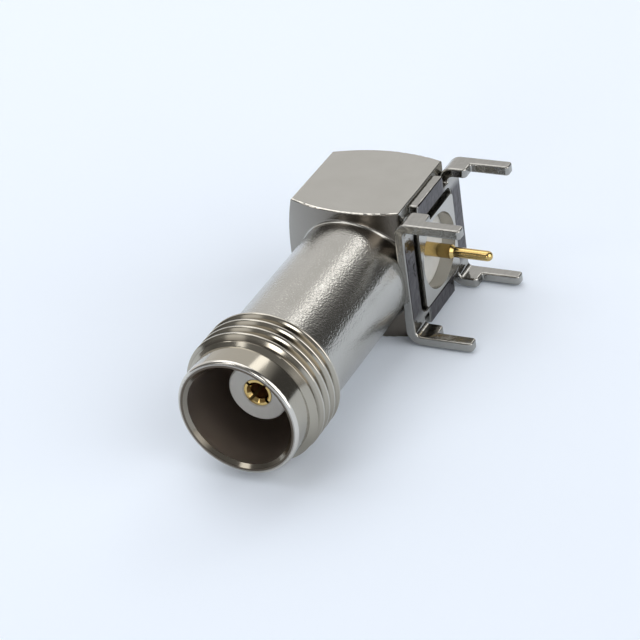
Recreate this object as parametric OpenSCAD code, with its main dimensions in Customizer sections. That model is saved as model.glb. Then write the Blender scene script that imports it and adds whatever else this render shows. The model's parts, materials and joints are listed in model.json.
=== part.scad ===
// Right-angle coaxial board jack with a threaded coupling, lying on its side.
// X runs from the barrel to the board, Y from the mouth to the back, Z up.
// The origin is on the centre pin's axis, at the face of the board.

/* [Mouth] */
// Major diameter of the coupling thread
thread_d = 11; // [10.6:0.1:11.2]
// Diameter of the plain lead in front of the thread
lead_d = 9.75; // [9.6:0.05:9.85]
// Length of the plain lead
lead_len = 2.05; // [1.6:0.05:2.3]
// From the rim to the back of the threaded collar
collar_len = 6.1; // [5.4:0.05:7]
// Bore that takes the mating sleeve
bore_d = 8.3; // [8.1:0.05:8.4]
// Depth of that bore
bore_depth = 8.55; // [8.3:0.05:8.8]

/* [Barrel and block] */
// From the rim to the centre pin's axis
reach = 25.35; // [23:0.05:30]
// Barrel diameter between the thread and the block
barrel_d = 9.5; // [9.3:0.1:9.7]
// Size of the block across the barrel, along Z
block_h = 11.3; // [11.2:0.1:12]
// Length of the block along the barrel, over its bowed faces
block_len = 10.1; // [9.8:0.1:11]
// From the barrel axis to the middle of the bowed blind side
blind_side = 6.1; // [5.8:0.05:6.6]
// Radius of the bowed blind side
blind_bow_r = 17; // [15:0.5:30]
// From the barrel axis to the flat that carries the bracket
bracket_side = 4.3; // [4.2:0.05:4.6]
// Radius of the bowed front and back faces
bow_r = 12.7; // [11:0.1:16]
// Radius of the block's edges
edge_r = 0.15; // [0.1:0.05:0.25]

/* [Bracket] */
// Thickness of the sheet
sheet_t = 0.8; // [0.7:0.05:0.9]
// Distance between the legs, along Y and along Z
leg_pitch = 10.16; // [10:0.02:10.4]
// Width of a leg's pin
pin_w = 1; // [0.8:0.05:1.1]
// Width of a leg at its shoulder
shoulder_w = 2.1; // [1.9:0.05:2.2]
// From the barrel axis to the board
axis_height = 6.65; // [6.5:0.05:7.2]
// Reach of the pins past the face of the board
pin_len = 3.2; // [2.6:0.1:4]
// Side of the square window
window = 7.6; // [7.4:0.1:7.8]
// Gap between the window and the body's boss in it
boss_gap = 0.4; // [0.2:0.05:0.5]
// Rise of that boss past the sheet
boss_rise = 0.25; // [0.1:0.05:0.5]

/* [Inner line] */
// From the rim to the face of the front insulator
face_recess = 3.35; // [3:0.05:3.6]
// Diameter of the insulator's boss in the mouth
boss_d = 4.7; // [4.6:0.05:4.75]
// Diameter of the insulator inside the barrel
line_d = 7; // [6.8:0.1:7.2]
// Outer diameter of the centre contact
contact_d = 2.2; // [2:0.05:2.3]
// Hole of the centre contact
socket_d = 1.36; // [1.32:0.01:1.4]
// Bore towards the board
port_d = 6.2; // [5.9:0.1:6.4]
// Depth of the tail insulator's face in that bore
port_recess = 1.15; // [0.8:0.05:1.5]
// Diameter of the centre pin's shank
shank_d = 1.16; // [1.12:0.02:1.24]
// Diameter of the centre pin in the board
tail_d = 0.84; // [0.76:0.02:0.88]

/* [Node] */
// Which sub-part to draw

/* [Hidden] */
$fn = 96;

nickel = [0.70, 0.69, 0.66];
tin = [0.74, 0.74, 0.73];
white = [0.93, 0.94, 0.95];
gold = [0.83, 0.66, 0.29];

// overlap of cutters past the faces they cut
over = 0.5;
// clearance round an insulator, a contact and a pin in their holes
fit = 0.02;

// mouth
rim_y = -reach;
rim_round = 0.3;
mouth_bevel = 0.27;
thread_run_in = 0.55;
crest_bevel = 0.12;

// bracket: the legs' outer faces, the bend and the sheet's free edges
leg_z = leg_pitch / 2 + sheet_t / 2;
leg_y = leg_pitch / 2 + pin_w / 2;
bend_r = 0.4;
bend_x = bracket_side + sheet_t + bend_r;
bend_z = leg_z - sheet_t - bend_r;
strip_w = 5;
strip_setback = 0.13;
strip_z = leg_z - strip_setback;
relief_depth = 0.1;
shoulder_r = 0.35;
tip_r = 0.28;
corner_r = 0.8;
plate_face = bracket_side + sheet_t;
boss_face = plate_face + boss_rise;

// inner line: an open elbow of the bore that a 50 ohm line in air has, and the two insulators' seats
air_line_ratio = 2.3;
elbow_d = contact_d * air_line_ratio;
elbow_end = elbow_d / 2;
insulator_gap = 0.2;
front_seat = -port_d / 2 - insulator_gap;
tail_seat = 1.6;
collar_step = 0.3;
collar_d = contact_d + 2 * collar_step;
collar_w = 0.5;
slot_w = 0.24;
slot_len = 4;
socket_depth = 5;
socket_bevel = 0.22;
contact_setback = 0.1;
contact_end = 1.3;
pin_end = -0.95;
shank_bevel = 0.25;
hole_bevel = 0.12;

// Moves what is drawn round the barrel axis into the part's frame.
module on_axis() {
    translate([-axis_height, 0, 0]) children();
}

// Turns a profile of [radius, place along Y] about the barrel axis.
module turned_y() {
    rotate([-90, 0, 0]) rotate_extrude() children();
}

// Turns a profile of [radius, place along X] about the centre pin's axis.
module turned_x() {
    rotate([0, 90, 0]) rotate_extrude() children();
}

// Extrudes an outline of [Y, Z] along X, from x0 to x1.
module along_x(x0, x1) {
    translate([x0, 0, 0]) rotate([90, 0, 90]) linear_extrude(x1 - x0) children();
}

// Extrudes an outline of [X, Z] along Y, from y0 to y1.
module along_y(y0, y1) {
    translate([0, y1, 0]) rotate([90, 0, 0]) linear_extrude(y1 - y0) children();
}

// Rectangle from a to b with all corners rounded.
module rounded_box(a, b, r) {
    translate([a.x + r, a.y]) square([b.x - a.x - 2 * r, b.y - a.y]);
    translate([a.x, a.y + r]) square([b.x - a.x, b.y - a.y - 2 * r]);
    for (x = [a.x + r, b.x - r], y = [a.y + r, b.y - r]) translate([x, y]) circle(r);
}

// Rectangle from a to b with its two far corners rounded.
module rounded_end(a, b, r) {
    translate(a) square([b.x - a.x - r, b.y - a.y]);
    translate([a.x, a.y + r]) square([b.x - a.x, b.y - a.y - 2 * r]);
    for (y = [a.y + r, b.y - r]) translate([b.x - r, y]) circle(r);
}

// Barrel with its lead, its threaded collar and a rounded rim, still solid.
module barrel() {
    lead_r = lead_d / 2;
    thread_r = thread_d / 2;
    barrel_r = barrel_d / 2;
    collar_y = rim_y + collar_len;
    thread_y = rim_y + lead_len;
    turned_y() {
        polygon([
            [0, rim_y],
            [lead_r - rim_round, rim_y],
            [lead_r - rim_round, rim_y + rim_round],
            [lead_r, rim_y + rim_round],
            [lead_r, thread_y],
            [thread_r, thread_y + thread_run_in],
            [thread_r, collar_y - crest_bevel],
            [thread_r - crest_bevel, collar_y],
            [barrel_r, collar_y],
            [barrel_r, 0],
            [0, 0],
        ]);
        translate([lead_r - rim_round, rim_y + rim_round]) circle(rim_round);
    }
}

// One bowed face of the block: a wide drum, its upper and lower edges rounded.
module bowed_face(side) {
    half = block_h / 2;
    translate([0, side * (block_len / 2 - bow_r), 0]) rotate_extrude() intersection() {
        rounded_box([-bow_r, -half], [bow_r, half], edge_r);
        translate([0, -half]) square([bow_r, block_h]);
    }
}

// Section of the block across the barrel: a bowed blind side and rounded edges.
module block_section() {
    half = block_h / 2;
    edge_z = half - edge_r;
    bow_x = blind_bow_r - blind_side;
    edge_x = bow_x - sqrt(pow(blind_bow_r - edge_r, 2) - pow(edge_z, 2));
    tangent_z = edge_z * blind_bow_r / (blind_bow_r - edge_r);
    intersection() {
        translate([bow_x, 0]) circle(blind_bow_r);
        translate([-blind_side - over, -tangent_z]) square([blind_side + over + edge_x, 2 * tangent_z]);
    }
    translate([edge_x, -half]) square([bracket_side - edge_r - edge_x, block_h]);
    translate([edge_x, -edge_z]) square([bracket_side - edge_x, 2 * edge_z]);
    for (x = [edge_x, bracket_side - edge_r], z = [-edge_z, edge_z]) translate([x, z]) circle(edge_r);
}

// Elbow block: flat top, bottom and bracket side, the other three sides bowed.
module block() {
    intersection() {
        along_y(-block_len, block_len) block_section();
        bowed_face(1);
        bowed_face(-1);
    }
}

// Room beside the block for the bracket's plate.
module plate_flat() {
    translate([bracket_side, -leg_y - fit, -barrel_d]) cube([barrel_d, 2 * leg_y, 2 * barrel_d]);
}

// Square boss that stands in the bracket's window.
module seat_boss() {
    side = window / 2 - boss_gap;
    along_x(bracket_side - over, boss_face) rounded_box([-side, -side], [side, side], corner_r - boss_gap);
}

// All that is bored out of the body: the mouth, the line, the elbow and the port.
module bores() {
    bore_r = bore_d / 2;
    seat_y = rim_y + bore_depth;
    turned_y() polygon([
        [0, rim_y - over],
        [bore_r + mouth_bevel + over, rim_y - over],
        [bore_r, rim_y + mouth_bevel],
        [bore_r, seat_y],
        [line_d / 2, seat_y],
        [line_d / 2, front_seat],
        [elbow_d / 2, front_seat],
        [elbow_d / 2, elbow_end],
        [0, elbow_end],
    ]);
    turned_x() polygon([
        [0, 0],
        [elbow_d / 2, 0],
        [elbow_d / 2, tail_seat],
        [port_d / 2, tail_seat],
        [port_d / 2, boss_face + over],
        [0, boss_face + over],
    ]);
}

module body() {
    color(nickel) on_axis() difference() {
        union() {
            difference() {
                barrel();
                plate_flat();
            }
            block();
            seat_boss();
        }
        bores();
    }
}

// Bend of one leg, from the plate's plane to the leg's.
module leg_bend() {
    intersection() {
        translate([bend_x, bend_z]) difference() {
            circle(bend_r + sheet_t);
            circle(bend_r);
        }
        translate([bracket_side, bend_z]) square(bend_r + sheet_t);
    }
}

// One leg: the bend, the wide shoulder and the narrow pin at its outer side.
module leg() {
    inner_y = leg_y - shoulder_w;
    along_y(inner_y, leg_y) leg_bend();
    translate([0, 0, leg_z - sheet_t]) linear_extrude(sheet_t) {
        difference() {
            rounded_end([bend_x, inner_y], [axis_height, leg_y + shoulder_r], shoulder_r);
            translate([bend_x, leg_y]) square(axis_height);
        }
        rounded_end([bend_x, leg_y - pin_w], [axis_height + pin_len, leg_y], tip_r);
    }
}

// Flat of the bracket: relief notches beside the legs and the square window.
module plate_outline() {
    notch_w = leg_y - shoulder_w - strip_w / 2;
    difference() {
        union() {
            square([2 * leg_y, 2 * bend_z], center = true);
            square([strip_w, 2 * strip_z], center = true);
        }
        rounded_box([-window / 2, -window / 2], [window / 2, window / 2], corner_r);
        for (y = [-1, 1], z = [-1, 1])
            translate([y * (strip_w + notch_w) / 2, z * bend_z])
                square([notch_w, 2 * relief_depth], center = true);
    }
}

module leg_bracket() {
    color(tin) on_axis() {
        along_x(bracket_side, plate_face) plate_outline();
        for (y = [0, 1], z = [0, 1]) mirror([0, y, 0]) mirror([0, 0, z]) leg();
    }
}

module front_insulator() {
    face_y = rim_y + face_recess;
    step_y = rim_y + bore_depth;
    hole_r = contact_d / 2 + fit;
    color(white) on_axis() turned_y() polygon([
        [hole_r + hole_bevel, face_y],
        [boss_d / 2 - hole_bevel, face_y],
        [boss_d / 2, face_y + hole_bevel],
        [boss_d / 2, step_y],
        [line_d / 2 - fit, step_y],
        [line_d / 2 - fit, front_seat],
        [hole_r, front_seat],
        [hole_r, face_y + hole_bevel],
    ]);
}

// Slots that cut the socket into four spring fingers.
module finger_slots(y0) {
    for (a = [45, 135]) rotate([0, a, 0])
        translate([-contact_d, y0 - over, -slot_w / 2]) cube([2 * contact_d, slot_len + over, slot_w]);
}

module centre_contact() {
    face_y = rim_y + face_recess + contact_setback;
    contact_r = contact_d / 2;
    socket_r = socket_d / 2;
    color(gold) on_axis() difference() {
        turned_y() polygon([
            [0, face_y + socket_depth],
            [socket_r, face_y + socket_depth],
            [socket_r, face_y + socket_bevel],
            [socket_r + socket_bevel, face_y],
            [contact_r, face_y],
            [contact_r, front_seat],
            [collar_d / 2, front_seat],
            [collar_d / 2, front_seat + collar_w],
            [contact_r, front_seat + collar_w],
            [contact_r, contact_end],
            [0, contact_end],
        ]);
        finger_slots(face_y);
        rotate([0, 90, 0]) cylinder(d = shank_d + 2 * fit, h = 2 * contact_d, center = true);
    }
}

module tail_insulator() {
    hole_r = shank_d / 2 + fit;
    color(white) on_axis() turned_x() translate([hole_r, tail_seat])
        square([port_d / 2 - fit - hole_r, boss_face - port_recess - tail_seat]);
}

module tail_pin() {
    tail_r = tail_d / 2;
    tip_x = axis_height + pin_len;
    color(gold) on_axis() turned_x() {
        polygon([
            [0, pin_end],
            [shank_d / 2, pin_end],
            [shank_d / 2, axis_height - shank_bevel],
            [tail_r, axis_height],
            [tail_r, tip_x - tail_r],
            [0, tip_x - tail_r],
        ]);
        intersection() {
            translate([0, tip_x - tail_r]) circle(tail_r);
            translate([0, tip_x - tail_r]) square(tail_r);
        }
    }
}

body();
leg_bracket();
front_insulator();
centre_contact();
tail_insulator();
tail_pin();
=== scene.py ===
"""Looks of a right-angle threaded coaxial jack for a circuit board.

The connector lies on its side: the barrel points along -Y, the legs along +X and +Z is up.
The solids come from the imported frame. This script cuts the coupling thread into the body, fills the
corner where the barrel leaves the block, rounds the bracket's edges, and gives every piece its plating
or plastic.
Lengths are in millimetres until they go into a mesh or a node.
"""

import json
import math

import bmesh
import bpy
import numpy as np
from mathutils import Matrix, Vector


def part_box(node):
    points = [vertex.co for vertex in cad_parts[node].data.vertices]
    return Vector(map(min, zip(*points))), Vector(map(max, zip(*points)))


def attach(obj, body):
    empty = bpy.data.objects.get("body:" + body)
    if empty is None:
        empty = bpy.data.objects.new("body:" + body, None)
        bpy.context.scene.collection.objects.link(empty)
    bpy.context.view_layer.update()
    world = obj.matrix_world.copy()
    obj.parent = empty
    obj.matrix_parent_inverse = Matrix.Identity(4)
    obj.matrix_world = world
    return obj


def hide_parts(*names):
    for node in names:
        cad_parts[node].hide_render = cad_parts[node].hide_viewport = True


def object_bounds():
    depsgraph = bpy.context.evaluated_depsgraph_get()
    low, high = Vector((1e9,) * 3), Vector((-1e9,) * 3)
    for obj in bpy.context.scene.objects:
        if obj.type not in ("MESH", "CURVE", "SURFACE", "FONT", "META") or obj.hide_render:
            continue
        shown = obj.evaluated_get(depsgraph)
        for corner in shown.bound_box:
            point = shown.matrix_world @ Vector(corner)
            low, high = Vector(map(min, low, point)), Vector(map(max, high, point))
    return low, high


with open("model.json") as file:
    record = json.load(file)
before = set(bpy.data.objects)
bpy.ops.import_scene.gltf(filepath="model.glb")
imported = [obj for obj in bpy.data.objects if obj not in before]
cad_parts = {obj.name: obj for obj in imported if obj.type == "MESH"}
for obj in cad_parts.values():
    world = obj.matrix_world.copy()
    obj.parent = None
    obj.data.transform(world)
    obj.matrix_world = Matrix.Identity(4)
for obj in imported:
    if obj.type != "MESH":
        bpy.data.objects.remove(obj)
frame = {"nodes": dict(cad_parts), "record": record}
cad_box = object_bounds()

MM = 0.001

# Barrel and socket, as the solids have them
thread_mount = next(mount for mount in frame["record"]["mounts"] if mount["name"] == "coupling_thread")
AXIS_X = thread_mount["pos_m"][0] / MM
RIM_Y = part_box("body")[0].y / MM
LEAD_R = 4.875
LEAD_END = RIM_Y + 2.05
COLLAR_BACK = RIM_Y + 6.1
BARREL_R = 4.75
SOCKET_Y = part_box("centre_contact")[0].y / MM

# Coupling thread, 28 turns an inch
THREAD_R = thread_mount["dims"]["r_mm"]
PITCH = 25.4 / 28
THREAD_DEPTH = 0.52
RUN_IN = 0.55
CREST_BEVEL = 0.12
FLAT_SHARE = 0.16
ROWS_PER_TURN = 20
COLUMNS = 192

# Block and bracket, as the solids have them; the block's bowed front is a drum about an upright axis
DRUM_R = 12.7
DRUM_Y = 7.65
FLAT_SIDE = 4.3
PLATE_FACE = -1.55

# Cast fillet where the barrel leaves the block, and the bracket's tumbled edges
FILLET = 0.25
FILLET_ROOT = 0.1
FILLET_STEPS = 10
SHEET_EDGE = 0.13
SMOOTH_ANGLE = math.radians(35)
FLAT_ANGLE = math.radians(3)

# Where a finish or painted light begins and ends: the rim's round and bevel, the bore, the socket and its
# hole, the fading of the cast skin towards the block, the block's nicked edges, and the painted dark
# reflection on the bracket's plate
RIM_R = 4.58
RIM_BAND = 0.29
BORE_R = 4.2
BORE_FRONT = RIM_Y + 0.3
BORE_END = RIM_Y + 8.9
CONTACT_R = 1.14
SOCKET_R = 0.7
SKIN_FADE = -6.5, -5.5
NICK_Z = 5.54
NICK_BAND = 0.08
DARK_REFLECTION_Y = 2.2, 2.9
DARK_REFLECTION_Z = 3.1, 3.8

# Camera of the photograph
AZIMUTH = math.radians(29.885)
ELEVATION = math.radians(31.758)
ROLL = math.radians(-8.752)
DISTANCE = 175.87
TARGET = (-6.657, -11.216, -0.37)
LENS = 128.974


def merged(points, triangles):
    """Makes corners at the same place one vertex and drops the triangles that this leaves without area."""
    _, first, same = np.unique(np.round(points, 4), axis=0, return_index=True, return_inverse=True)
    triangles = same.ravel()[triangles]
    a, b, c = triangles.T
    return points[first], triangles[(a != b) & (b != c) & (c != a)]


def node_triangles(node):
    """Reads a solid's mesh as merged vertices in millimetres and triangles."""
    mesh = frame["nodes"][node].data
    points = np.empty(len(mesh.vertices) * 3)
    mesh.vertices.foreach_get("co", points)
    corners = np.empty(len(mesh.loops), dtype=int)
    mesh.loops.foreach_get("vertex_index", corners)
    return merged(points.reshape(-1, 3) / MM, corners.reshape(-1, 3))


def cells(a, b, c, d):
    """Two triangles for each four-cornered cell of a grid."""
    return np.concatenate([np.stack([a, b, c], -1).reshape(-1, 3), np.stack([a, c, d], -1).reshape(-1, 3)])


def polar(points):
    """Gives radius and angle about the barrel axis; the angle turns right-handed about +Y from +Z."""
    x = points[:, 0] - AXIS_X
    z = points[:, 2]
    return np.hypot(x, z), np.arctan2(x, z) % (2 * np.pi)


def thread_surface():
    """Right-hand thread on a grid whose rows follow the helix, y = start + pitch * (row + angle / turn).

    Rows are held between the two ends of the collar. The radius is the least of the run-in cone, the
    rear bevel and the thread's own profile: a crest flat, a straight flank and a root flat each way.
    """
    start = LEAD_END + 0.04
    turns = math.ceil((COLLAR_BACK - start) / PITCH)
    row = np.arange(-ROWS_PER_TURN, turns * ROWS_PER_TURN + 1) / ROWS_PER_TURN
    angle = np.linspace(0, 1, COLUMNS + 1)
    y = np.clip(start + PITCH * (row[:, None] + angle), start, COLLAR_BACK)
    from_crest = 2 * np.abs((y - start) / PITCH - angle - np.round((y - start) / PITCH - angle))
    flank = np.clip((from_crest - FLAT_SHARE) / (1 - 2 * FLAT_SHARE), 0, 1)
    cone = LEAD_R + (y - LEAD_END) / RUN_IN * (THREAD_R - LEAD_R)
    bevel = THREAD_R - CREST_BEVEL + COLLAR_BACK - y
    radius = np.minimum(np.minimum(cone, bevel), THREAD_R - THREAD_DEPTH * flank)
    turn = 2 * np.pi * angle
    points = np.stack([AXIS_X + radius * np.sin(turn), y, radius * np.cos(turn)], axis=-1)
    index = np.arange(y.size).reshape(y.shape)
    triangles = cells(index[:-1, :-1], index[:-1, 1:], index[1:, 1:], index[1:, :-1])
    return merged(points.reshape(-1, 3), triangles)


def ring(points, y, radius=None):
    """Vertices of the circle at y, and at a radius where one is given, in order of angle."""
    r, angle = polar(points)
    on = np.abs(points[:, 1] - y) < 0.0001
    if radius is not None:
        on &= np.abs(r - radius) < 0.001
    found = np.flatnonzero(on)
    return found[np.argsort(angle[found])]


def zipped(points, left, right):
    """Closes the strip between two rings: each step of the angle on either ring makes one triangle."""
    angles = polar(points)[1]
    steps = np.concatenate([angles[left], angles[right]])
    on_left = np.arange(len(steps)) < len(left)
    order = np.argsort(steps, kind="stable")
    on_left = on_left[order]
    at_left = np.cumsum(on_left)
    at_right = np.cumsum(~on_left)
    near = np.where(on_left, left[(at_left - 2) % len(left)], right[(at_right - 2) % len(right)])
    here = np.where(on_left, left[(at_left - 1) % len(left)], right[(at_right - 1) % len(right)])
    across = np.where(on_left, right[(at_right - 1) % len(right)], left[(at_left - 1) % len(left)])
    return np.stack([near, here, across], axis=-1)


def fillet():
    """Cast fillet where the barrel leaves the block: a hollow quarter circle carried round the barrel.

    Its foot follows the block's front, y = drum_y - sqrt(drum_r^2 - x^2). Its size runs out to nothing
    at the flat that carries the bracket, where both ends close. A root inside the metal closes its back.
    """
    widest = math.asin((FLAT_SIDE - 0.05) / BARREL_R)
    angle = np.linspace(-np.pi - widest, widest, COLUMNS)[:, None]
    room = (FLAT_SIDE - 0.05) / np.maximum(np.sin(angle), 0.01) - BARREL_R
    size = np.clip(room, 0, FILLET)
    arc = np.linspace(0, np.pi / 2, FILLET_STEPS)
    out = np.hstack([size * (1 - np.sin(arc)), np.full_like(angle, -FILLET_ROOT)])
    front = np.hstack([size * (1 - np.cos(arc)), np.full_like(angle, -FILLET_ROOT)])
    x = (BARREL_R + out) * np.sin(angle)
    z = (BARREL_R + out) * np.cos(angle)
    y = DRUM_Y - np.sqrt(DRUM_R ** 2 - x ** 2) - front
    points = np.stack([AXIS_X + x, y, z], axis=-1)
    index = np.arange(x.size).reshape(x.shape)
    after = np.roll(index, -1, axis=1)
    triangles = cells(index[:-1], after[:-1], after[1:], index[1:])
    return merged(points.reshape(-1, 3), triangles)


def threaded_body():
    """The body's triangles without its plain collar, the thread joined on at both ends, and the fillet."""
    points, triangles = node_triangles("body")
    middle = points[triangles].mean(axis=1)
    radius, _ = polar(middle)
    in_collar = (middle[:, 1] > LEAD_END + 0.001) & (middle[:, 1] < COLLAR_BACK + 0.001)
    kept = triangles[~(in_collar & (radius > BARREL_R + 0.001))]
    turns, turn_triangles = thread_surface()
    both = np.concatenate([points, turns])
    ends = turns[:, 1].min(), turns[:, 1].max()
    front = zipped(both, ring(points, LEAD_END, LEAD_R), ring(turns, ends[0]) + len(points))
    back = zipped(both, ring(points, COLLAR_BACK, BARREL_R), ring(turns, ends[1]) + len(points))
    bead, bead_triangles = fillet()
    shells = [kept, turn_triangles + len(points), front, back, bead_triangles + len(both)]
    return np.concatenate([both, bead]), np.concatenate(shells)


def piece(name, points, triangles, node, slot, edge=0):
    """Makes a closed piece that stands for a node, smooth but for its edges, which may get small rounds."""
    mesh = bpy.data.meshes.new(name)
    mesh.from_pydata(points * MM, [], triangles.tolist())
    shell = bmesh.new()
    shell.from_mesh(mesh)
    loose = [vertex for vertex in shell.verts if not vertex.link_faces]
    bmesh.ops.delete(shell, geom=loose, context="VERTS")
    bmesh.ops.recalc_face_normals(shell, faces=shell.faces)
    if edge:
        bmesh.ops.dissolve_limit(shell, angle_limit=FLAT_ANGLE, verts=shell.verts, edges=shell.edges)
    shell.to_mesh(mesh)
    shell.free()
    mesh.polygons.foreach_set("use_smooth", [True] * len(mesh.polygons))
    mesh.set_sharp_from_angle(angle=SMOOTH_ANGLE)
    made = bpy.data.objects.new(name, mesh)
    bpy.context.scene.collection.objects.link(made)
    if edge:
        bevel = made.modifiers.new("edges", "BEVEL")
        bevel.angle_limit = SMOOTH_ANGLE
        bevel.width = edge * MM
        bevel.segments = 3
        bevel.use_clamp_overlap = False
    normals = made.modifiers.new("even shading", "WEIGHTED_NORMAL")
    normals.keep_sharp = True
    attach(made, "root")
    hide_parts(node)
    return made


def linear(code):
    """Turns an sRGB hex colour into the linear RGBA that a shader takes."""
    parts = [int(code[i:i + 2], 16) / 255 for i in (1, 3, 5)]
    return (*(p / 12.92 if p <= 0.04045 else ((p + 0.055) / 1.055) ** 2.4 for p in parts), 1)


def add(tree, kind, inputs=None, **settings):
    """Adds a node, sets its properties, and gives each named input a value or a link."""
    made = tree.nodes.new(kind)
    for name, value in settings.items():
        setattr(made, name, value)
    for name, value in (inputs or {}).items():
        if isinstance(value, bpy.types.NodeSocket):
            tree.links.new(value, made.inputs[name])
        else:
            made.inputs[name].default_value = value
    return made


def per_metre(size):
    """Scale of a pattern whose grains are this many millimetres across."""
    return 1 / (size * MM)


def new_material(name):
    """Starts a material with its shader; gives both, with the tree and the Object coordinates."""
    made = bpy.data.materials.new(name)
    made.use_nodes = True
    tree = made.node_tree
    shader = tree.nodes["Principled BSDF"]
    place = add(tree, "ShaderNodeTexCoord").outputs["Object"]
    return made, tree, shader, place


def distance_from(tree, place, across, centre):
    """Distance of each point from an axis through the centre, over the coordinates across that axis."""
    offset = add(tree, "ShaderNodeVectorMath", {
        0: place, 1: across, 2: [-length * MM for length in centre],
    }, operation="MULTIPLY_ADD").outputs[0]
    return add(tree, "ShaderNodeVectorMath", {0: offset}, operation="LENGTH").outputs["Value"]


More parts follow.
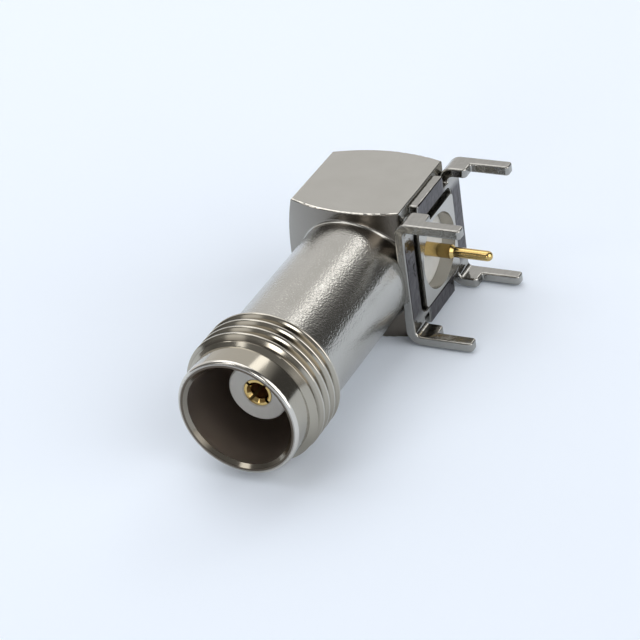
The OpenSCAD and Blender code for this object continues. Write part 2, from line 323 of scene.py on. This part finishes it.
def nickel_plated_casting():
    """Nickel plate on a cast body with a turned mouth.

    The plate follows the casting's pebbled skin, so a highlight on the barrel breaks into specks. The
    turned rim, lead and thread are smoother, a little browner, and mirror the studio in clean bands.
    The thread's crests, the rim's outer round and nicks on the block's front edges carry wear and a painted
    highlight.
    In the bore, on the rim's narrow lip, on the mouth's inner bevel, in the thread's roots and on the
    block's front between the barrel and the bracket, the colour is darkened with painted shade and painted
    dark reflections; the bore is also rougher.
    """
    made, tree, shader, place = new_material("nickel_plated_casting")
    parts = add(tree, "ShaderNodeSeparateXYZ", {0: place})
    y = parts.outputs["Y"]
    radius = distance_from(tree, place, (1, 0, 1), (AXIS_X, 0, 0))
    bow = distance_from(tree, place, (1, 1, 0), (AXIS_X, DRUM_Y, 0))

    # Pebbled cast skin behind the collar, nearly flat on the block
    cast = add(tree, "ShaderNodeMapRange", {
        "Value": y, "From Min": (COLLAR_BACK - 0.1) * MM, "From Max": (COLLAR_BACK + 0.1) * MM,
    }).outputs[0]
    on_block = add(tree, "ShaderNodeMapRange", {
        "Value": y, "From Min": SKIN_FADE[0] * MM, "From Max": SKIN_FADE[1] * MM, "To Min": 1, "To Max": 0.1,
    }).outputs[0]
    lift = add(tree, "ShaderNodeMath", {0: cast, 1: on_block}, operation="MULTIPLY").outputs[0]
    pebble = add(tree, "ShaderNodeTexNoise", {
        "Vector": place, "Scale": per_metre(0.15), "Detail": 1, "Roughness": 0.5,
    }).outputs[0]
    bump = add(tree, "ShaderNodeBump", {"Strength": lift, "Distance": 0.026 * MM, "Height": pebble})
    haze = add(tree, "ShaderNodeTexNoise", {
        "Vector": place, "Scale": per_metre(2.5), "Detail": 4,
    }).outputs[0]
    tumbled = add(tree, "ShaderNodeMix", {
        "Factor": haze, 6: linear("#BBB9B3"), 7: linear("#AEABA4"),
    }, data_type="RGBA").outputs[2]
    plate = add(tree, "ShaderNodeMix", {
        "Factor": cast, 6: linear("#ABA598"), 7: tumbled,
    }, data_type="RGBA").outputs[2]

    # Thread, and the rim's round, flat and inner bevel
    threaded = add(tree, "ShaderNodeMath", {
        0: y, 1: (LEAD_END + RUN_IN + COLLAR_BACK) / 2 * MM, 2: (COLLAR_BACK - LEAD_END - RUN_IN) / 2 * MM,
    }, operation="COMPARE").outputs[0]
    crest = add(tree, "ShaderNodeMath", {
        0: radius, 1: THREAD_R * MM, 2: 0.03 * MM,
    }, operation="COMPARE").outputs[0]
    crest = add(tree, "ShaderNodeMath", {0: crest, 1: threaded}, operation="MULTIPLY").outputs[0]
    at_rim = add(tree, "ShaderNodeMath", {
        0: y, 1: (RIM_Y + RIM_BAND) * MM,
    }, operation="LESS_THAN").outputs[0]
    outward = add(tree, "ShaderNodeMath", {0: radius, 1: RIM_R * MM}, operation="GREATER_THAN").outputs[0]
    rim = add(tree, "ShaderNodeMath", {0: at_rim, 1: outward}, operation="MULTIPLY").outputs[0]
    bevel = add(tree, "ShaderNodeMath", {0: at_rim, 1: rim}, operation="SUBTRACT").outputs[0]
    lip = add(tree, "ShaderNodeMath", {0: y, 1: RIM_Y * MM, 2: 0.02 * MM}, operation="COMPARE").outputs[0]

    # Nicks along the block's front edges: chips that are lightened below, with a painted glint on top
    height = add(tree, "ShaderNodeMath", {0: parts.outputs["Z"]}, operation="ABSOLUTE").outputs[0]
    top = add(tree, "ShaderNodeMath", {0: height, 1: NICK_Z * MM}, operation="GREATER_THAN").outputs[0]
    brow = add(tree, "ShaderNodeMath", {
        0: bow, 1: (DRUM_R - NICK_BAND) * MM, 2: NICK_BAND * MM,
    }, operation="COMPARE").outputs[0]
    chips = add(tree, "ShaderNodeTexNoise", {"Vector": place, "Scale": per_metre(0.5)}).outputs[0]
    chips = add(tree, "ShaderNodeMapRange", {"Value": chips, "From Min": 0.4, "From Max": 0.5}).outputs[0]
    nicks_and_glints = add(tree, "ShaderNodeMath", {0: top, 1: brow}, operation="MULTIPLY").outputs[0]
    nicks_and_glints = add(tree, "ShaderNodeMath", {0: nicks_and_glints, 1: chips}, operation="MULTIPLY").outputs[0]

    # Plate lightened by wear, with a painted highlight on the crests, the rim's round and the nicks
    wear_and_painted_highlight = add(tree, "ShaderNodeMath", {0: crest, 1: 0.5, 2: rim}, operation="MULTIPLY_ADD").outputs[0]
    wear_and_painted_highlight = add(tree, "ShaderNodeMath", {0: wear_and_painted_highlight, 1: nicks_and_glints}, operation="MAXIMUM").outputs[0]
    bright = add(tree, "ShaderNodeMix", {
        "Factor": wear_and_painted_highlight, 6: plate, 7: linear("#CFCBC3"),
    }, data_type="RGBA").outputs[2]

    # Painted shade and dark reflections on the block's front, in the thread's roots, on the lip and inner
    # bevel
    on_front = add(tree, "ShaderNodeMath", {
        0: bow, 1: DRUM_R * MM, 2: 0.03 * MM,
    }, operation="COMPARE").outputs[0]
    past_barrel = add(tree, "ShaderNodeMapRange", {
        "Value": parts.outputs["X"], "From Min": (AXIS_X - 5.5) * MM, "From Max": (AXIS_X + 1) * MM,
        "To Min": 0.34, "To Max": 0.85,
    }).outputs[0]
    front = add(tree, "ShaderNodeMath", {0: on_front, 1: past_barrel}, operation="MULTIPLY").outputs[0]
    depth = add(tree, "ShaderNodeMapRange", {
        "Value": radius, "From Min": (THREAD_R - 0.2) * MM, "From Max": (THREAD_R - 0.38) * MM,
        "To Max": 0.5,
    }).outputs[0]
    root = add(tree, "ShaderNodeMath", {0: threaded, 1: depth}, operation="MULTIPLY").outputs[0]
    dark = add(tree, "ShaderNodeMath", {0: bevel, 1: 0.5, 2: front}, operation="MULTIPLY_ADD").outputs[0]
    dark = add(tree, "ShaderNodeMath", {0: lip, 1: 0.45, 2: dark}, operation="MULTIPLY_ADD").outputs[0]
    dark = add(tree, "ShaderNodeMath", {0: dark, 1: root}, operation="MAXIMUM").outputs[0]
    shaded = add(tree, "ShaderNodeMix", {
        "Factor": dark, 6: bright, 7: linear("#5C5349"),
    }, data_type="RGBA").outputs[2]

    # Bore of the mouth: darkened with painted shade, and rougher
    in_bore = add(tree, "ShaderNodeMath", {0: radius, 1: BORE_R * MM}, operation="LESS_THAN").outputs[0]
    at_mouth = add(tree, "ShaderNodeMath", {
        0: y, 1: (BORE_FRONT + BORE_END) / 2 * MM, 2: (BORE_END - BORE_FRONT) / 2 * MM,
    }, operation="COMPARE").outputs[0]
    bore = add(tree, "ShaderNodeMath", {0: in_bore, 1: at_mouth}, operation="MULTIPLY").outputs[0]
    tint = add(tree, "ShaderNodeMix", {
        "Factor": bore, 6: shaded, 7: linear("#968A80"),
    }, data_type="RGBA").outputs[2]

    dull = add(tree, "ShaderNodeMapRange", {"Value": haze, "To Min": 0.16, "To Max": 0.24}).outputs[0]
    rough = add(tree, "ShaderNodeMix", {"Factor": cast, "A": 0.13, "B": dull}).outputs[0]
    rough = add(tree, "ShaderNodeMix", {"Factor": bore, "A": rough, "B": 0.5}).outputs[0]
    shader.inputs["Metallic"].default_value = 1
    tree.links.new(tint, shader.inputs["Base Color"])
    tree.links.new(rough, shader.inputs["Roughness"])
    tree.links.new(bump.outputs[0], shader.inputs["Normal"])
    return made


def tinned_brass_sheet():
    """Tin dipped on stamped brass sheet: bright, with a wavy skin that breaks what it mirrors into patches.

    The flat of the plate carries a painted dark reflection; the corners that the legs pull on stay bright.
    """
    made, tree, shader, place = new_material("tinned_brass_sheet")
    wave = add(tree, "ShaderNodeTexNoise", {
        "Vector": place, "Scale": per_metre(0.7), "Detail": 2,
    }).outputs[0]
    along = add(tree, "ShaderNodeMapping", {"Vector": place, "Scale": (1, 0.12, 1)}).outputs[0]
    streak = add(tree, "ShaderNodeTexNoise", {
        "Vector": along, "Scale": per_metre(0.25), "Detail": 3,
    }).outputs[0]
    rough = add(tree, "ShaderNodeMapRange", {"Value": streak, "To Min": 0.08, "To Max": 0.24}).outputs[0]
    bump = add(tree, "ShaderNodeBump", {"Strength": 0.8, "Distance": 0.06 * MM, "Height": wave})
    bright = add(tree, "ShaderNodeMix", {
        "Factor": streak, 6: linear("#ABA9A4"), 7: linear("#989691"),
    }, data_type="RGBA").outputs[2]
    # Painted dark reflection on the plate's flat, fading out towards its corners
    dark_reflection_tint = add(tree, "ShaderNodeMix", {
        "Factor": wave, 6: linear("#363233"), 7: linear("#524E4F"),
    }, data_type="RGBA").outputs[2]
    parts = add(tree, "ShaderNodeSeparateXYZ", {0: place})
    on_plate = add(tree, "ShaderNodeMath", {
        0: parts.outputs["X"], 1: PLATE_FACE * MM, 2: 0.04 * MM,
    }, operation="COMPARE").outputs[0]
    aside = add(tree, "ShaderNodeMath", {0: parts.outputs["Y"]}, operation="ABSOLUTE").outputs[0]
    aside = add(tree, "ShaderNodeMapRange", {
        "Value": aside, "From Min": DARK_REFLECTION_Y[1] * MM, "From Max": DARK_REFLECTION_Y[0] * MM,
    }).outputs[0]
    level = add(tree, "ShaderNodeMath", {0: parts.outputs["Z"]}, operation="ABSOLUTE").outputs[0]
    level = add(tree, "ShaderNodeMapRange", {
        "Value": level, "From Min": DARK_REFLECTION_Z[1] * MM, "From Max": DARK_REFLECTION_Z[0] * MM,
    }).outputs[0]
    flat = add(tree, "ShaderNodeMath", {0: aside, 1: level}, operation="MAXIMUM").outputs[0]
    dark_reflection_mask = add(tree, "ShaderNodeMath", {0: on_plate, 1: flat}, operation="MULTIPLY").outputs[0]
    tint = add(tree, "ShaderNodeMix", {"Factor": dark_reflection_mask, 6: bright, 7: dark_reflection_tint}, data_type="RGBA").outputs[2]
    shader.inputs["Metallic"].default_value = 1
    tree.links.new(tint, shader.inputs["Base Color"])
    tree.links.new(rough, shader.inputs["Roughness"])
    tree.links.new(bump.outputs[0], shader.inputs["Normal"])
    return made


def turned_ptfe():
    """Turned PTFE: waxy white that light enters a little; the wall of the drilled hole is darkened with
    painted shade.
    """
    made, tree, shader, place = new_material("turned_ptfe")
    mottle = add(tree, "ShaderNodeTexNoise", {
        "Vector": place, "Scale": per_metre(0.6), "Detail": 3,
    }).outputs[0]
    white = add(tree, "ShaderNodeMix", {
        "Factor": mottle, 6: linear("#CFCDC7"), 7: linear("#C3C1BB"),
    }, data_type="RGBA").outputs[2]
    radius = distance_from(tree, place, (1, 0, 1), (AXIS_X, 0, 0))
    # Painted shade on the wall of the drilled hole
    hole = add(tree, "ShaderNodeMath", {0: radius, 1: CONTACT_R * MM}, operation="LESS_THAN").outputs[0]
    tint = add(tree, "ShaderNodeMix", {
        "Factor": hole, 6: white, 7: linear("#A08A5E"),
    }, data_type="RGBA").outputs[2]
    bump = add(tree, "ShaderNodeBump", {"Strength": 0.08, "Distance": 0.02 * MM, "Height": mottle})
    shader.inputs["Roughness"].default_value = 0.5
    shader.inputs["IOR"].default_value = 1.36
    shader.inputs["Subsurface Weight"].default_value = 0.2
    shader.inputs["Subsurface Radius"].default_value = (0.4 * MM, 0.4 * MM, 0.4 * MM)
    tree.links.new(tint, shader.inputs["Base Color"])
    tree.links.new(bump.outputs[0], shader.inputs["Normal"])
    return made


def gold_plate():
    """Gold plate on turned brass: warm and smooth with a fine grain; darker deep in the socket as painted
    shade, and rougher there.
    """
    made, tree, shader, place = new_material("gold_plate_on_turned_brass")
    grain = add(tree, "ShaderNodeTexNoise", {
        "Vector": place, "Scale": per_metre(0.15), "Detail": 2,
    }).outputs[0]
    tint = add(tree, "ShaderNodeMix", {
        "Factor": grain, 6: linear("#D4BA7E"), 7: linear("#C0A162"),
    }, data_type="RGBA").outputs[2]
    # Painted shade deep in the socket's hole, growing with depth; the hole is also rougher
    radius = distance_from(tree, place, (1, 0, 1), (AXIS_X, 0, 0))
    hole = add(tree, "ShaderNodeMath", {0: radius, 1: SOCKET_R * MM}, operation="LESS_THAN").outputs[0]
    y = add(tree, "ShaderNodeSeparateXYZ", {0: place}).outputs["Y"]
    inside = add(tree, "ShaderNodeMapRange", {
        "Value": y, "From Min": (SOCKET_Y + 0.15) * MM, "From Max": (SOCKET_Y + 0.7) * MM,
    }).outputs[0]
    deep = add(tree, "ShaderNodeMath", {0: hole, 1: inside}, operation="MULTIPLY").outputs[0]
    tint = add(tree, "ShaderNodeMix", {
        "Factor": deep, 6: tint, 7: linear("#A0704C"),
    }, data_type="RGBA").outputs[2]
    smooth = add(tree, "ShaderNodeMapRange", {"Value": grain, "To Min": 0.05, "To Max": 0.13}).outputs[0]
    rough = add(tree, "ShaderNodeMix", {"Factor": deep, "A": smooth, "B": 0.7}).outputs[0]
    bump = add(tree, "ShaderNodeBump", {"Strength": 0.08, "Distance": 0.01 * MM, "Height": grain})
    shader.inputs["Metallic"].default_value = 1
    tree.links.new(tint, shader.inputs["Base Color"])
    tree.links.new(rough, shader.inputs["Roughness"])
    tree.links.new(bump.outputs[0], shader.inputs["Normal"])
    return made


def dress(made, finish):
    """Puts one material on a piece or a node."""
    made.data.materials.clear()
    made.data.materials.append(finish)


def seamless_paper():
    """Pale seamless paper of the table: evenly white, with no shine."""
    made = bpy.data.materials.new("seamless_paper")
    made.use_nodes = True
    shader = made.node_tree.nodes["Principled BSDF"]
    shader.inputs["Base Color"].default_value = linear("#ECF4FF")
    shader.inputs["Roughness"].default_value = 0.9
    shader.inputs["Specular IOR Level"].default_value = 0.1
    return made


def floor(height):
    """A flat sheet of paper under the connector, wide enough to fill every view."""
    reach = 3.0
    corners = [(-reach, -reach), (reach, -reach), (reach, reach), (-reach, reach)]
    mesh = bpy.data.meshes.new("floor")
    mesh.from_pydata([(x, y, height) for x, y in corners], [], [(0, 1, 2, 3)])
    made = bpy.data.objects.new("floor", mesh)
    bpy.context.scene.collection.objects.link(made)
    dress(made, seamless_paper())


def softbox(name, towards, distance, size, radiance):
    """A square lamp in a direction from the part, facing it; its power follows from what it radiates."""
    lamp = bpy.data.lights.new(name, "AREA")
    lamp.shape = "SQUARE"
    lamp.size = size
    lamp.energy = math.pi * size ** 2 * radiance
    made = bpy.data.objects.new(name, lamp)
    way = Vector(towards).normalized()
    made.location = Vector(TARGET) * MM + way * distance
    made.rotation_euler = way.to_track_quat("Z", "Y").to_euler()
    bpy.context.scene.collection.objects.link(made)


def studio_world():
    """A dim room with soft bright patches: each patch fades in with the cosine to its direction."""
    patches = [
        # towards, cosine at the edge, cosine at the full level, level
        ((-0.6, 0.72, 0.35), 0.35, 0.75, 0.8),  # pale wall behind on the left
        ((0.9, -0.2, 0.4), 0.75, 0.93, 2.4),  # window on the right
        ((-0.1, -0.95, 0.3), 0.3, 0.9, 0.16),  # dim wall in front
        ((-0.52, -0.78, 0.35), 0.98, 0.995, 0.8),  # small window in front on the left
        ((0.06, -0.95, 0.3), 0.988, 0.998, 5),  # small lamp in front
        ((-0.42, -0.53, 0.74), 0.984, 0.994, 2.5),  # small lamp above in front on the left
    ]
    world = bpy.data.worlds.new("studio")
    world.use_nodes = True
    tree = world.node_tree
    away = add(tree, "ShaderNodeTexCoord").outputs["Generated"]
    total = 0.085
    for towards, edge, full, level in patches:
        cosine = add(tree, "ShaderNodeVectorMath", {
            0: away, 1: Vector(towards).normalized(),
        }, operation="DOT_PRODUCT").outputs["Value"]
        patch = add(tree, "ShaderNodeMapRange", {
            "Value": cosine, "From Min": edge, "From Max": full, "To Max": level,
        }, interpolation_type="SMOOTHSTEP").outputs[0]
        total = add(tree, "ShaderNodeMath", {0: total, 1: patch}, operation="ADD").outputs[0]
    tree.links.new(total, tree.nodes["Background"].inputs["Strength"])
    tree.nodes["Background"].inputs["Color"].default_value = linear("#FFFFFF")
    bpy.context.scene.world = world


def photo_camera():
    """The photograph's camera: on a sphere round the target, turned about its own axis by the roll."""
    back = Vector((math.sin(AZIMUTH) * math.cos(ELEVATION), -math.cos(AZIMUTH) * math.cos(ELEVATION),
                   math.sin(ELEVATION)))
    level = Vector((math.cos(AZIMUTH), math.sin(AZIMUTH), 0))
    turned = Matrix((level, back.cross(level), back)).transposed() @ Matrix.Rotation(ROLL, 3, "Z")
    lens = bpy.data.cameras.new("camera")
    lens.lens = LENS
    lens.clip_start = 0.01
    made = bpy.data.objects.new("camera", lens)
    made.matrix_world = Matrix.Translation((Vector(TARGET) + back * DISTANCE) * MM) @ turned.to_4x4()
    bpy.context.scene.collection.objects.link(made)
    bpy.context.scene.camera = made


nickel = nickel_plated_casting()
ptfe = turned_ptfe()
gold = gold_plate()

dress(piece("threaded_body", *threaded_body(), "body", "nickel_casting"), nickel)
dress(piece("stamped_bracket", *node_triangles("leg_bracket"), "leg_bracket", "tinned_sheet", SHEET_EDGE),
      tinned_brass_sheet())
for name in ("front_insulator", "tail_insulator"):
    dress(frame["nodes"][name], ptfe)
for name in ("centre_contact", "tail_pin"):
    dress(frame["nodes"][name], gold)

floor(cad_box[0].z)
softbox("overhead", (-0.32, 0.12, 0.9), 0.5, 0.5, 1.28)
softbox("back", (0.13, 0.737, 0.663), 0.5, 0.12, 1.65)
studio_world()
photo_camera()
bpy.context.scene.view_settings.view_transform = "Standard"
